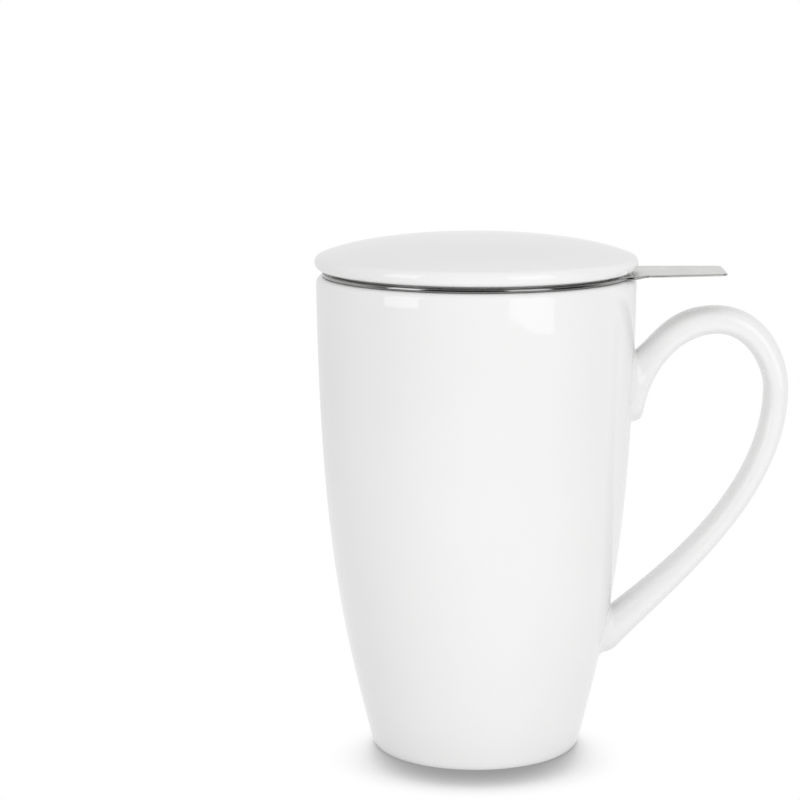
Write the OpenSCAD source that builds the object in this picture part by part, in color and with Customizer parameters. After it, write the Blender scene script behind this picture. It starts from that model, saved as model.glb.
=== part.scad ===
// Tall porcelain tea mug with a perforated steel basket infuser and a lift-off porcelain lid.
// Millimetres. The mug stands on z = 0 with its axis on Z; the handle and the infuser's tab point to +X.

/* [Mug body] */
// Outside diameter at the rim
rim_d = 88; // [84:0.5:94]
// Height from the foot to the top of the rim
mug_h = 132.3; // [124:0.1:145]
// Outside diameter just above the foot
foot_d = 59.4; // [56:0.1:64]
// Wall thickness
wall_t = 3.8; // [3.2:0.1:4.4]
// Thickness of the floor
floor_t = 5; // [4:0.5:7]
// Outward lean of the wall just above the foot, in mm per mm of height
foot_lean = 0.24; // [0.18:0.01:0.28]
// Length of the leaning stretch that sets how low the wall bends
low_bend_h = 29; // [24:1:40]
// Length of the nearly upright stretch under the rim
upright_h = 75; // [66:1:84]
// Height of the rounded edge round the foot
foot_edge_h = 3; // [2:0.5:4]
// Width of the ground ring that the mug stands on
foot_land_w = 3; // [2:0.5:4]
// Depth of the recess inside the foot ring
foot_recess_h = 1.8; // [1:0.2:2.4]
// Radius of the rounded corner between the cavity's wall and its floor
cavity_corner = 12; // [8:1:16]

/* [Handle] */
// Distance from the rim down to the top of the loop
handle_drop = 8.4; // [7:0.1:14]
// Distance from the rim's side out to the outermost point of the loop
handle_reach = 42.3; // [38:0.1:46]
// Distance from the rim's side out to the highest point of the loop
handle_crest_out = 22.4; // [19:0.1:24]
// Height from the top of the loop down to the lower root's underside on the wall
handle_h = 98; // [92:0.2:102]
// Height from the top of the loop down to its outermost point
handle_side_drop = 23.2; // [20:0.1:27]
// Height from the top of the loop down to where its back meets the wall
handle_neck_drop = 12.7; // [10:0.1:15]
// Height from the top of the loop down to the upper root's toe
handle_toe_drop = 32.3; // [30:0.1:36]
// Distance that the toe stands out from the wall
handle_toe_out = 3.4; // [2.5:0.1:5]
// Height of the lower root on the wall
handle_root_h = 12.1; // [10:0.1:16]
// Distance from the wall to the lower root's heel, where its underside turns in to the wall
handle_heel_out = 4.4; // [3:0.1:6]
// Thickness of the strap at the top of the loop
handle_crest_t = 7.6; // [6:0.1:8.5]
// Thickness of the strap at its outermost point
handle_side_t = 6.6; // [5.5:0.1:8]
// Width of the strap
handle_w = 13.5; // [11:0.5:15]
// Width of the strap where it meets the wall
handle_root_w = 15.5; // [15:0.5:18]

/* [Infuser] */
// Distance that the flange's edge stays in from the rim's outside
flange_inset = 1.6; // [1:0.1:2.2]
// Thickness of the flange sheet
flange_t = 0.7; // [0.6:0.1:0.9]
// Radius of the rolled outer edge of the flange
flange_roll = 0.45; // [0.45:0.05:0.6]
// Gap between the collar and the mug's inside
collar_clear = 1.7; // [1:0.1:3]
// Height of the collar below the flange
collar_h = 9; // [8:0.5:12]
// Thickness of the collar sheet
collar_t = 0.5; // [0.4:0.1:0.7]
// Depth of the whole basket below the rim
basket_h = 76; // [60:1:80]
// Distance by which the sleeve narrows on each side towards its lower end
sleeve_taper = 4; // [3:0.5:6]
// Thickness of the perforated sheet
sleeve_t = 0.4; // [0.3:0.05:0.6]
// Height of the lap between the sleeve and the collar
sleeve_lap_h = 5; // [3:0.5:7]
// Height of the plain band at the sleeve's lower end
sleeve_hem_h = 4; // [3:0.5:6]
// Width of the lapped seam along the sleeve
seam_w = 3.2; // [2:0.2:5]
// Thickness of the perforated base disc
base_t = 0.5; // [0.4:0.1:0.8]
// Thickness of the hoop that holds the base disc
hoop_t = 0.5; // [0.4:0.1:0.8]
// Width of the hoop's lip under the base disc
hoop_lip_w = 2; // [1.5:0.1:3]
// Diameter of the strainer holes
hole_d = 2.2; // [1:0.1:2.6]
// Number of holes round the sleeve
hole_cols = 28; // [12:1:36]
// Number of rows of holes along the sleeve
hole_rows = 7; // [3:1:10]
// Distance between the rings of holes in the base disc
base_hole_pitch = 5; // [4.5:0.1:8]

/* [Tab] */
// Distance from the rim's side to the tab's tip
tab_reach = 24.2; // [18:0.2:28]
// Width of the tab next to the flange
tab_w = 23.2; // [18:0.2:26]
// Width of the tab at its tip
tab_tip_w = 20; // [14:0.2:23]
// Radius of the corners at the tip
tab_corner = 2; // [1:0.1:4]
// Length of the fillet where the tab leaves the flange
tab_fillet = 8; // [5:0.5:12]
// Height by which the tab is bent up past the flange's edge
tab_rise = 0.5; // [0:0.1:1.5]
// Length of the bend between the flange and the raised tab
tab_rise_run = 4; // [2:0.5:8]
// Height that the raised tab gains from there to its tip
tab_climb = 0.3; // [0:0.1:1]

/* [Lid] */
// Distance that the lid's edge stands out past the rim
lid_over = 0.4; // [0:0.1:1.5]
// Thickness of the lid's rounded edge
lid_edge_t = 4.2; // [3.4:0.1:5]
// Height of the crown above the underside of the edge
lid_crown_h = 9.4; // [8.5:0.1:14]
// Reach of the crown's flat top, as a share of the lid's radius
lid_flat = 0.58; // [0.3:0.02:0.7]
// Thickness of the lid at its centre
lid_t = 4.4; // [3.5:0.1:5]
// Depth of the locating ring below the seat
lid_ring_h = 5; // [3:0.5:7]
// Width of the locating ring
lid_ring_w = 3; // [2.4:0.1:4]

/* [Clearances] */
// Gap between the rim and the flange
flange_clear = 0.1; // [0.05:0.05:0.3]
// Gap between the flange and the lid's seat
seat_clear = 0.05; // [0.05:0.05:0.2]
// Radial gap between the sleeve and the lid's locating ring
lid_clear = 0.8; // [0.5:0.1:1.2]
// Width of the lid's seat on the flange, outside the collar
seat_lap = 0.8; // [0.5:0.1:2]
// Height of the lid's edge above the flange sheet
lid_edge_gap = 0.9; // [0.4:0.05:1.5]

/* [Hidden] */
$fn = 96;

porcelain = [0.95, 0.95, 0.94];
steel = [0.76, 0.76, 0.75];

// A cubic curve's point at t, and n points along it from a, without d.
function cubic(a, b, c, d, t) =
    pow(1 - t, 3) * a + 3 * pow(1 - t, 2) * t * b + 3 * (1 - t) * t * t * c + pow(t, 3) * d;
function curve(a, b, c, d, n) = [for (i = [0 : n - 1]) cubic(a, b, c, d, i / n)];
// Points along an arc from angle a0 to a1, both ends included.
function arc(c, r, a0, a1, n) = [for (i = [0 : n]) c + r * dir(a0 + (a1 - a0) * i / n)];
function dir(a) = [cos(a), sin(a)];

// Body: the outside runs from the foot's edge to the start of the rounded lip.
rim_r = rim_d / 2;
foot_r = foot_d / 2;
lip_r = wall_t / 2;
lip_z = mug_h - lip_r;
rim_lean = 0.01;
wall_low = [foot_r, foot_edge_h];
wall_bend = wall_low + low_bend_h * [foot_lean, 1];
wall_high = [rim_r, lip_z];
wall_straight = wall_high - upright_h * [rim_lean, 1];
wall_steps = 26;
outside = concat(curve(wall_low, wall_bend, wall_straight, wall_high, wall_steps), [wall_high]);
radius_table = [for (p = outside) [p[1], p[0]]];
function wall_r(z) = lookup(z, radius_table);

foot_edge_w = 1.7;
floor_z = foot_recess_h + floor_t;
corner_z = floor_z + cavity_corner;
corner_r = wall_r(corner_z) - wall_t;
corner_slope = [wall_r(corner_z + 1) - wall_r(corner_z), 1];
foot_out = foot_r - foot_edge_w;
foot_in = foot_out - foot_land_w;
recess_bevel = 1;

// Infuser heights and radii, from the rim and the collar.
flange_z = mug_h + flange_clear;
flange_top = flange_z + flange_t;
flange_r = rim_r - flange_inset;
collar_r = rim_r - wall_t - collar_clear;
collar_in = collar_r - collar_t;
collar_z = flange_z - collar_h;
sleeve_in = collar_in - sleeve_t;
sleeve_top = collar_z + sleeve_lap_h;
hoop_z = mug_h - basket_h;
sleeve_z = hoop_z + hoop_t;
sleeve_low_r = collar_in - sleeve_taper;
hem_top = sleeve_z + sleeve_hem_h;
hole_margin = 4;
hole_low = hem_top + hole_margin;
hole_high = collar_z - hole_margin;
seam_angle = 90;
seam_half = 4;
base_r = sleeve_low_r - sleeve_t;
base_rings = floor((base_r - hoop_lip_w - hole_d) / base_hole_pitch);

// Lid heights and radii, from the flange and the sleeve.
seat_z = flange_top + seat_clear;
lid_r = rim_r + lid_over;
edge_r = lid_edge_t / 2;
edge_z = flange_top + lid_edge_gap + edge_r;
edge_c = lid_r - edge_r;
crown_z = edge_z - edge_r + lid_crown_h;
// The crown leaves its flat top level, and meets the edge's rounding at this angle without a crease.
crown_a = 68;
crown_end = [edge_c, edge_z] + edge_r * dir(crown_a);
crown_pull = 0.12 * lid_r;
crown_n = 20;
crown = concat(
    curve([0, crown_z], [lid_flat * lid_r, crown_z],
          crown_end + crown_pull * dir(crown_a + 90), crown_end, crown_n),
    [crown_end]);
function crown_at(r) = lookup(r, crown);
ring_out = sleeve_in - lid_clear;
ring_in = ring_out - lid_ring_w;
ring_round = lid_ring_w / 2;
ring_z = seat_z - lid_ring_h + ring_round;
seat_out = collar_r + seat_lap;
seat_step = 1;

module mug_body() {
    lip = arc([rim_r - lip_r, lip_z], lip_r, 0, 180, 12);
    wall_n = 20;
    inner = [for (i = [1 : wall_n]) let(z = lip_z + (corner_z - lip_z) * i / wall_n) [wall_r(z) - wall_t, z]];
    corner_end = [corner_r - cavity_corner, floor_z];
    bend = cavity_corner * 0.55;
    corner = curve([corner_r, corner_z], [corner_r, corner_z] - bend * corner_slope,
                   corner_end + [bend, 0], corner_end, 8);
    foot = curve([foot_out, 0], [foot_out + foot_edge_w * 0.5, 0],
                 wall_low - foot_edge_h * 0.5 * [foot_lean, 1], wall_low, 5);
    color(porcelain)
        rotate_extrude()
            polygon(concat(
                [[0, foot_recess_h], [foot_in - recess_bevel, foot_recess_h], [foot_in, 0]],
                foot,
                [for (i = [0 : wall_steps - 1]) outside[i]],
                lip, inner,
                [for (i = [1 : 7]) corner[i]],
                [corner_end, [0, floor_z]]));
}

// Handle: two rails in the XZ plane, the back and the finger side, joined by rounded sections.
crest = [rim_r + handle_crest_out, mug_h - handle_drop];
side = [rim_r + handle_reach, crest[1] - handle_side_drop];
neck_z = crest[1] - handle_neck_drop;
toe_z = crest[1] - handle_toe_drop;
low_z = crest[1] - handle_h;
root_z = low_z + handle_root_h;
toe_rise = 3.7;
heel_rise = 1.8;
neck = [wall_r(neck_z), neck_z];
toe_start = [wall_r(toe_z), toe_z];
toe = toe_start + [handle_toe_out, toe_rise];
low = [wall_r(low_z), low_z];
root = [wall_r(root_z), root_z];
heel = low + [handle_heel_out, heel_rise];
crest_in = crest - [0, handle_crest_t];
side_in = side - [handle_side_t, 0];

// A stretch of rail that leaves a along ua and reaches b along ub, with pulls as shares of its chord.
function stretch(a, ua, ka, b, ub, kb, n) =
    curve(a, a + ka * norm(b - a) * ua, b - kb * norm(b - a) * ub, b, n);

toe_n = 4;
arch_n = 14;
bow_n = 12;
limb_n = 16;
heel_n = 5;
back_rail = concat(
    stretch(neck, dir(38.5), 0.28, crest, dir(0), 0.51, toe_n + arch_n),
    stretch(crest, dir(0), 0.43, side, dir(-90), 0.34, bow_n),
    stretch(side, dir(-90), 0.36, heel, dir(227), 0.265, limb_n),
    stretch(heel, dir(227), 0.4, low, dir(182), 0.4, heel_n),
    [low]);
finger_rail = concat(
    stretch(toe_start, dir(10), 0.6, toe, dir(78.5), 0.5, toe_n),
    stretch(toe, dir(78.5), 0.475, crest_in, dir(0), 0.29, arch_n),
    stretch(crest_in, dir(0), 0.415, side_in, dir(-90), 0.26, bow_n),
    stretch(side_in, dir(-90), 0.44, root, dir(228.5), 0.1, limb_n + heel_n),
    [root]);

sections = len(back_rail);
section_n = 20;
section_power = 0.8;
flare_n = 8;
// Share of the root's extra width at section i: all of it at the wall, none a few sections on.
function flare(i) = pow(max(0, 1 - min(i, sections - 1 - i) / flare_n), 2);
function strap_w(i) = handle_w + (handle_root_w - handle_w) * flare(i);
function squircle(c) = sign(c) * pow(abs(c), section_power);
function section(i) =
    let(mid = (back_rail[i] + finger_rail[i]) / 2, half = (back_rail[i] - finger_rail[i]) / 2)
    [for (k = [0 : section_n - 1])
        let(a = 360 * k / section_n, p = mid + half * squircle(cos(a)))
        [p[0], strap_w(i) / 2 * squircle(sin(a)), p[1]]];

// The first and the last section lie on the body's outside, and so do the faces that close them.
function on_wall(y, z) = [sqrt(pow(wall_r(z), 2) - y * y), y, z];
function wall_ring(i) = [for (p = section(i)) on_wall(p[1], p[2])];
cap_rows = section_n / 2;
cap_cols = 6;
// Points between the two ends of each row across a wall ring.
function cap_points(ring) =
    [for (k = [1 : cap_rows - 1], j = [1 : cap_cols - 1])
        on_wall(ring[k][1] * (1 - 2 * j / cap_cols), ring[k][2])];
// Index of the point in row k and column j, for a ring whose points start at first and its cap's at inner.
function cap_id(first, inner, k, j) =
    j == 0 || k == 0 || k == cap_rows ? first + k
    : j == cap_cols ? first + section_n - k
    : inner + (k - 1) * (cap_cols - 1) + j - 1;
function cap_faces(first, inner) =
    [for (k = [0 : cap_rows - 1], j = [0 : cap_cols - 1])
        let(a = cap_id(first, inner, k, j), b = cap_id(first, inner, k, j + 1),
            c = cap_id(first, inner, k + 1, j + 1), d = cap_id(first, inner, k + 1, j))
        each [if (a != b) [a, b, c], if (c != d) [a, c, d]]];

module mug_handle() {
    top_ring = wall_ring(0);
    low_ring = wall_ring(sections - 1);
    rings = concat(top_ring, [for (i = [1 : sections - 2]) each section(i)], low_ring);
    top_cap = len(rings);
    low_cap = top_cap + (cap_rows - 1) * (cap_cols - 1);
    sides = [for (i = [0 : sections - 2], k = [0 : section_n - 1])
        let(a = i * section_n + k, b = i * section_n + (k + 1) % section_n)
        each [[a, b, b + section_n], [a, b + section_n, a + section_n]]];
    low_faces = [for (f = cap_faces((sections - 1) * section_n, low_cap)) [f[0], f[2], f[1]]];
    color(porcelain)
        polyhedron(concat(rings, cap_points(top_ring), cap_points(low_ring)),
                   concat(sides, cap_faces(0, top_cap), low_faces));
}

// Tab outline: one side from the ring's middle out to the tip, then mirrored.
tab_tip = rim_r + tab_reach;
tab_root_w = tab_w / 2 + tab_fillet / 2;
tab_root_x = sqrt(flange_r * flange_r - tab_root_w * tab_root_w) - flange_roll;
tab_side_x = flange_r + tab_fillet;
tab_side = concat(
    curve([tab_root_x, tab_root_w], [tab_root_x + tab_fillet * 0.3, tab_root_w - tab_fillet * 0.4],
          [tab_side_x - tab_fillet * 0.5, tab_w / 2], [tab_side_x, tab_w / 2], 8),
    [[tab_side_x, tab_w / 2]],
    arc([tab_tip - tab_corner, tab_tip_w / 2 - tab_corner], tab_corner, 90, 0, 6));
tab_outline = concat(tab_side, [for (i = [len(tab_side) - 1 : -1 : 0]) [tab_side[i][0], -tab_side[i][1]]]);

// Tab seen from the side: level where it leaves the ring, bent up past it, and climbing a little to its tip.
function tab_level(x, rise) = [x, flange_z + rise];
tab_edge = [tab_level(0, 0), tab_level(flange_r, 0), tab_level(flange_r + tab_rise_run, tab_rise),
            tab_level(tab_tip, tab_rise + tab_climb)];
tab_profile = concat(tab_edge, [for (i = [len(tab_edge) - 1 : -1 : 0]) tab_edge[i] + [0, flange_t]]);

module infuser_flange() {
    roll_step = 0.8;
    color(steel)
        difference() {
            union() {
                rotate_extrude()
                    polygon(concat(
                        [[collar_r, flange_z]],
                        arc([flange_r - flange_roll, flange_z + flange_roll], flange_roll, -90, 90, 10),
                        [[flange_r - flange_roll - roll_step, flange_top], [collar_r, flange_top]]));
                intersection() {
                    translate([0, 0, flange_z - 1])
                        linear_extrude(flange_t + tab_rise + tab_climb + 2)
                            polygon(tab_outline);
                    rotate([90, 0, 0])
                        linear_extrude(3 * tab_w, center = true)
                            polygon(tab_profile);
                }
            }
            translate([0, 0, flange_z - 1])
                cylinder(h = flange_t + 2, r = collar_r);
        }
}

module infuser_collar() {
    color(steel)
        rotate_extrude()
            polygon([[collar_in, collar_z], [collar_r, collar_z],
                     [collar_r, flange_top], [collar_in, flange_top]]);
}

// Radius of the sleeve's outside at height z.
function sleeve_r(z) = lookup(z, [[hem_top, sleeve_low_r], [collar_z, collar_in]]);

module infuser_sleeve() {
    hole_step_z = (hole_high - hole_low) / (hole_rows - 1);
    hole_step_a = (360 - 2 * seam_half) / hole_cols;
    drill = 3;
    seam_span = seam_w / sleeve_low_r * 180 / PI;
    seam_mid = sleeve_t / 2;
    seam_top = collar_z - 1;
    seam_low_r = sleeve_r(hem_top);
    seam_top_r = sleeve_r(seam_top);
    color(steel)
        difference() {
            union() {
                rotate_extrude()
                    polygon([[sleeve_low_r, sleeve_z], [sleeve_low_r, hem_top], [collar_in, collar_z],
                             [collar_in, sleeve_top], [sleeve_in, sleeve_top], [sleeve_in, collar_z],
                             [base_r, hem_top], [base_r, sleeve_z]]);
                rotate([0, 0, seam_angle - seam_span / 2])
                    rotate_extrude(angle = seam_span)
                        polygon([[seam_low_r - seam_mid, hem_top], [seam_low_r + sleeve_t, hem_top],
                                 [seam_top_r + sleeve_t, seam_top], [seam_top_r - seam_mid, seam_top]]);
            }
            for (row = [0 : hole_rows - 1], col = [0 : hole_cols - 1]) {
                hole_z = hole_low + row * hole_step_z;
                rotate([0, 0, seam_angle + seam_half + hole_step_a * (col + 0.25 + 0.5 * (row % 2))])
                    translate([sleeve_r(hole_z) - sleeve_t / 2, 0, hole_z])
                        rotate([0, 90, 0])
                            cylinder(h = drill, d = hole_d, center = true, $fn = 16);
            }
        }
}

module infuser_base() {
    color(steel)
        difference() {
            translate([0, 0, sleeve_z])
                cylinder(h = base_t, r = base_r);
            for (ring = [0 : base_rings], k = [0 : max(0, 6 * ring - 1)])
                rotate([0, 0, 60 * k / max(1, ring)])
                    translate([ring * base_hole_pitch, 0, sleeve_z - 1])
                        cylinder(h = base_t + 2, d = hole_d, $fn = 16);
        }
}

module infuser_base_hoop() {
    hoop_out = sleeve_low_r + hoop_t;
    hoop_top = hem_top - 1;
    color(steel)
        rotate_extrude()
            polygon([[base_r - hoop_lip_w, hoop_z], [hoop_out, hoop_z], [hoop_out, hoop_top],
                     [sleeve_low_r, hoop_top], [sleeve_low_r, sleeve_z], [base_r - hoop_lip_w, sleeve_z]]);
}

module lid() {
    under_n = 12;
    under = [for (i = [under_n : -1 : 0]) let(r = ring_in * i / under_n) [r, crown_at(r) - lid_t]];
    color(porcelain)
        rotate_extrude()
            polygon(concat(
                [for (i = [0 : crown_n - 1]) crown[i]],
                arc([edge_c, edge_z], edge_r, crown_a, -90, 14),
                [[seat_out + seat_step, edge_z - edge_r], [seat_out, seat_z], [ring_out, seat_z]],
                arc([ring_out - ring_round, ring_z], ring_round, 0, -180, 8),
                under));
}

mug_body();
mug_handle();
infuser_flange();
infuser_collar();
infuser_sleeve();
infuser_base();
infuser_base_hoop();
lid();
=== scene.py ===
"""Looks of a tall porcelain tea mug with a steel basket infuser and a lift-off porcelain lid.

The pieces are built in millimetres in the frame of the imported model, and scaled to metres as each
mesh is made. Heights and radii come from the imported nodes, and the finer sizes are named below.
The camera, the floor and the lights are in metres.
"""

import math

import bmesh
import bpy
import numpy as np
from mathutils import Matrix, Vector
from mathutils.geometry import delaunay_2d_cdt


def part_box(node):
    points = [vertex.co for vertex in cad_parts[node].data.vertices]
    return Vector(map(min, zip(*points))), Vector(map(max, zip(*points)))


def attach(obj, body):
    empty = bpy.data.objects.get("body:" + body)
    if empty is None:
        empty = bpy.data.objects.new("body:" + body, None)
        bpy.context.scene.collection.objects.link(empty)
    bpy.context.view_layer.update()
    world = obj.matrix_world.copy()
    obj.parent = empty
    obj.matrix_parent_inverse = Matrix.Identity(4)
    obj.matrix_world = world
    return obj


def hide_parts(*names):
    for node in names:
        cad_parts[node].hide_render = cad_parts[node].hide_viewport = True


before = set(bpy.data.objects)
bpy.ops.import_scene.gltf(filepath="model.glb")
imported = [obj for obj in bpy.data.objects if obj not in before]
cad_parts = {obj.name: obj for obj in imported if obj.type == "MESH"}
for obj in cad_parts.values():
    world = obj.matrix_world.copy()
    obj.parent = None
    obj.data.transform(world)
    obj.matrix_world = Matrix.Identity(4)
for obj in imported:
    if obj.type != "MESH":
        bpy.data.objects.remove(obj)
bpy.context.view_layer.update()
scene = bpy.context.scene

MM = 0.001
# Pull of a cubic curve that is nearly a quarter of a circle, as a share of the circle's radius
ROUND_PULL = 0.55


# ---------------------------------------------------------------- sizes, in millimetres and degrees

def span(node):
    """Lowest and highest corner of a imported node, in millimetres."""
    return [np.round(np.array(corner) / MM, 2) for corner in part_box(node)]


body_high = span("mug_body")[1]
handle_low, handle_high = span("mug_handle")
flange_low, flange_high = span("infuser_flange")
collar_low, collar_high = span("infuser_collar")
sleeve_low, sleeve_high = span("infuser_sleeve")
base_low, base_high = span("infuser_base")
hoop_low, hoop_high = span("infuser_base_hoop")
lid_low, lid_high = span("lid")

# Mug body
rim_r = body_high[1]
mug_h = body_high[2]
foot_r = 29.7
wall_t = 3.8
floor_t = 5.0
cavity_corner = 12.0
# How far the wall leans out at the foot and at the rim, for each millimetre up, and the height over
# which its curve keeps each lean
foot_lean = 0.24
rim_lean = 0.01
low_bend_h = 29.0
upright_h = 75.0
# Rounded edge below the wall, flat land that the mug stands on, and recess inside it
foot_edge_h = 3.0
foot_edge_w = 1.7
foot_land_w = 3.0
foot_recess_h = 1.8
foot_bevel = 1.0
foot_round = 0.3

# Handle, measured outwards from the rim's side and down from the top of the loop. The back rail runs
# from the neck over the crest and the side to the heel and in to the wall, and the finger rail from
# the toe round the inside of the loop to the root.
handle_top = handle_high[2]
handle_reach = handle_high[0] - rim_r
handle_h = handle_top - handle_low[2]
neck_drop = 12.7
crest_out = 22.4
crest_t = 7.6
side_drop = 23.2
side_t = 6.6
toe_drop = 32.3
toe_out = 3.4
toe_rise = 3.7
heel_out = 4.4
heel_rise = 1.8
root_h = 12.1
strap_w = 13.5
root_w = 15.5
# A section is an ellipse at 1, and squarer below
section_power = 0.8
# Headings of the rails, where 0 is outwards and 90 is up
outwards = 0
downwards = -90
neck_heading = 38.5
toe_start_heading = 10
toe_heading = 78.5
heel_heading = 227
low_heading = 182
root_heading = 228.5
# Sections along each stretch of the handle, sections at each end over which the strap widens and over
# which the glazed fillet reshapes it, and points round a section
toe_n = 12
arch_n = 42
bow_n = 36
limb_n = 48
heel_n = 15
flare_n = 24
fillet_n = 18
section_n = 64
# Size of the glazed fillet at each root: at its back, at its finger side, and along its sides
upper_fillet = (0.9, 0.7, 3.0)
lower_fillet = (1.2, 2.4, 3.4)
fillet_sink = 0.02
fillet_curve_n = 10

# Infuser
flange_z = flange_low[2]
flange_t = 0.7
flange_top = flange_z + flange_t
flange_r = flange_high[1]
# Half the height of the ring's rolled edge, how full it is against the tab's half-round edge, and how
# far inside the outline the flat faces start
flange_roll = 0.45
roll_fullness = 0.45
edge_strip_w = 1.3
collar_r = collar_high[1]
collar_t = 0.5
collar_in = collar_r - collar_t
collar_z = collar_low[2]
base_r = base_high[1]
sleeve_t = 0.4
sleeve_z = sleeve_low[2]
sleeve_top = sleeve_high[2]
sleeve_low_r = base_r + sleeve_t
hem_h = 4.0
hem_top = sleeve_z + hem_h
# Perforation, between plain bands and clear of the seam. A hole has as many points as the border of
# its cell.
plain_band_w = 2.5
mesh_pitch = 2.05
mesh_hole_d = 1.05
hole_n = 8
seam_angle = 90.0
seam_half = 4.0
# Lapped strip over the seam: it stands out by lap_rise over the lap_flat share of its half width, and
# falls by the lap_fall share of that at its edges
seam_w = 3.2
lap_rise = 0.95 * sleeve_t
lap_flat = 0.75
lap_fall = 0.9
lap_gap_low = 0.2
lap_gap_high = 0.6
# Spot welds
weld_d = 1.7
weld_h = 0.12
weld_sink = 0.1
seam_weld_gap = 5.0
collar_weld_h = 2.6
hoop_weld_h = 2.1
# Hoop
hoop_z = hoop_low[2]
hoop_top = hoop_high[2]
hoop_t = 0.5
hoop_bend = 0.9
hoop_lip_w = 2.0
hoop_chamfer = 0.15

# Tab: it rises over a short run past the ring, and climbs a little more out to its tip
tab_tip = flange_high[0]
tab_w = 23.2
tab_tip_w = 20.0
tab_corner = 2.0
tab_fillet = 8.0
tab_rise = 0.5
tab_rise_run = 4.0
tab_climb = 0.3
tab_bend_half_w = 9.6

# Lid
lid_r = lid_high[1]
lid_top = lid_high[2]
lid_t = 4.4
lid_edge_t = 4.2
lid_crown_h = 9.4
lid_edge_low = lid_top - lid_crown_h
# Crown: its level pull at the middle, the angle on the round edge where it ends, and its pull there
lid_flat = 0.58
lid_crown_a = 68.0
lid_crown_pull = 0.12
# Locating ring, seat on the flange, and the step up from the seat to the underside of the edge
lid_ring_w = 3.0
lid_clear = 0.8
seat_lap = 0.8
seat_gap = 0.05
seat_z = flange_top + seat_gap
seat_chamfer = 0.5
seat_round = 0.25
step_w = 1.0
step_round = 0.3
hollow_fillet_h = 2.0
hollow_fillet_pull = 0.6


# ---------------------------------------------------------------- shape helpers

def cubic(a, b, c, d, steps):
    """Points of a cubic Bezier curve at equal steps of its parameter, both ends included."""
    a, b, c, d = (np.asarray(p, float) for p in (a, b, c, d))
    t = np.linspace(0, 1, steps + 1)[:, None]
    return (1 - t) ** 3 * a + 3 * (1 - t) ** 2 * t * b + 3 * (1 - t) * t * t * c + t ** 3 * d


def arc(centre, radius, start, end, steps):
    """Points along an arc, in degrees, both ends included."""
    a = np.radians(np.linspace(start, end, steps + 1))
    return np.asarray(centre, float) + radius * np.column_stack([np.cos(a), np.sin(a)])


def heading(degrees):
    """Unit vector in a direction, in degrees."""
    return np.array([math.cos(math.radians(degrees)), math.sin(math.radians(degrees))])


def smoothstep(x):
    """From 0 to 1 as x does, with a level start and end."""
    x = np.clip(x, 0, 1)
    return x * x * (3 - 2 * x)


def ring_faces(rows, count):
    """Quads between neighbouring rows of points, each row closed round."""
    return [[r * count + k, r * count + (k + 1) % count,
             (r + 1) * count + (k + 1) % count, (r + 1) * count + k]
            for r in range(rows - 1) for k in range(count)]


def shifted(faces, start):
    """The same faces on points that start at another index."""
    return [[start + i for i in face] for face in faces]


def far_side(faces, total):
    """The same faces on the other side of a sheet, whose points follow the total of this side."""
    return [[i + total for i in reversed(face)] for face in faces]


def edge_walls(edges, total):
    """Quads through a sheet, from edges on one side to the same edges on the other."""
    return [[a, b, b + total, a + total] for a, b in edges]


def make_piece(name, verts, faces, materials, body, nodes=(), face_material=None, sharp=40):
    """A smooth-shaded mesh piece from points in millimetres, riding on a body."""
    mesh = bpy.data.meshes.new(name)
    mesh.from_pydata((np.asarray(verts, float) * MM).tolist(), [], [list(f) for f in faces])
    for material in materials:
        mesh.materials.append(material)
    if face_material is not None:
        mesh.polygons.foreach_set("material_index", face_material)
    turned = bmesh.new()
    turned.from_mesh(mesh)
    bmesh.ops.recalc_face_normals(turned, faces=turned.faces)
    turned.to_mesh(mesh)
    turned.free()
    mesh.shade_smooth()
    mesh.set_sharp_from_angle(angle=math.radians(sharp))
    piece = bpy.data.objects.new(name, mesh)
    scene.collection.objects.link(piece)
    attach(piece, body)
    if nodes:
        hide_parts(*nodes)
    return piece


def merge_points(piece, distance_mm, sharp=40):
    """Joins points that lie on each other, so that the piece is one closed surface."""
    joined = bmesh.new()
    joined.from_mesh(piece.data)
    bmesh.ops.remove_doubles(joined, verts=joined.verts, dist=distance_mm * MM)
    bmesh.ops.recalc_face_normals(joined, faces=joined.faces)
    joined.to_mesh(piece.data)
    joined.free()
    piece.data.set_sharp_from_angle(angle=math.radians(sharp))


def lathe(profile, segments=192, closed=False):
    """Points and faces of a profile of (radius, height) points turned round the Z axis.

    Points on the axis become one vertex. The third result gives the profile step of each face."""
    turn = np.linspace(0, 2 * math.pi, segments, endpoint=False)
    verts = []
    rings = []
    for r, z in profile:
        if r < 1e-6:
            rings.append([len(verts)] * segments)
            verts.append((0.0, 0.0, z))
        else:
            rings.append(list(range(len(verts), len(verts) + segments)))
            verts += [(r * c, r * s, z) for c, s in zip(np.cos(turn), np.sin(turn))]
    faces = []
    steps = []
    count = len(profile)
    for i in range(count if closed else count - 1):
        a = rings[i]
        b = rings[(i + 1) % count]
        for k in range(segments):
            n = (k + 1) % segments
            corners = list(dict.fromkeys([a[k], a[n], b[n], b[k]]))
            if len(corners) > 2:
                faces.append(corners)
                steps.append(i)
    return verts, faces, steps


def flat_fill(outer, holes, inside=()):
    """Triangles that fill a flat outline around its round holes, through the points inside it."""
    loops = [outer] + list(holes)
    points = [Vector(p) for loop in loops for p in loop] + [Vector(p) for p in inside]
    edges = []
    first = 0
    for loop in loops:
        edges += [(first + i, first + (i + 1) % len(loop)) for i in range(len(loop))]
        first += len(loop)
    places, _, found, *_ = delaunay_2d_cdt(points, edges, [], 1, 1e-6)
    middles = np.array([np.mean(hole, axis=0) for hole in holes])
    reach = np.array([np.linalg.norm(hole - middle, axis=1).min()
                      for hole, middle in zip(holes, middles)])
    triangles = []
    for face in found:
        centre = np.mean([places[i] for i in face], axis=0)
        if not np.any(np.linalg.norm(middles - centre, axis=1) < reach * 0.98):
            triangles.append(list(face))
    return np.array([tuple(p) for p in places]), triangles


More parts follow.
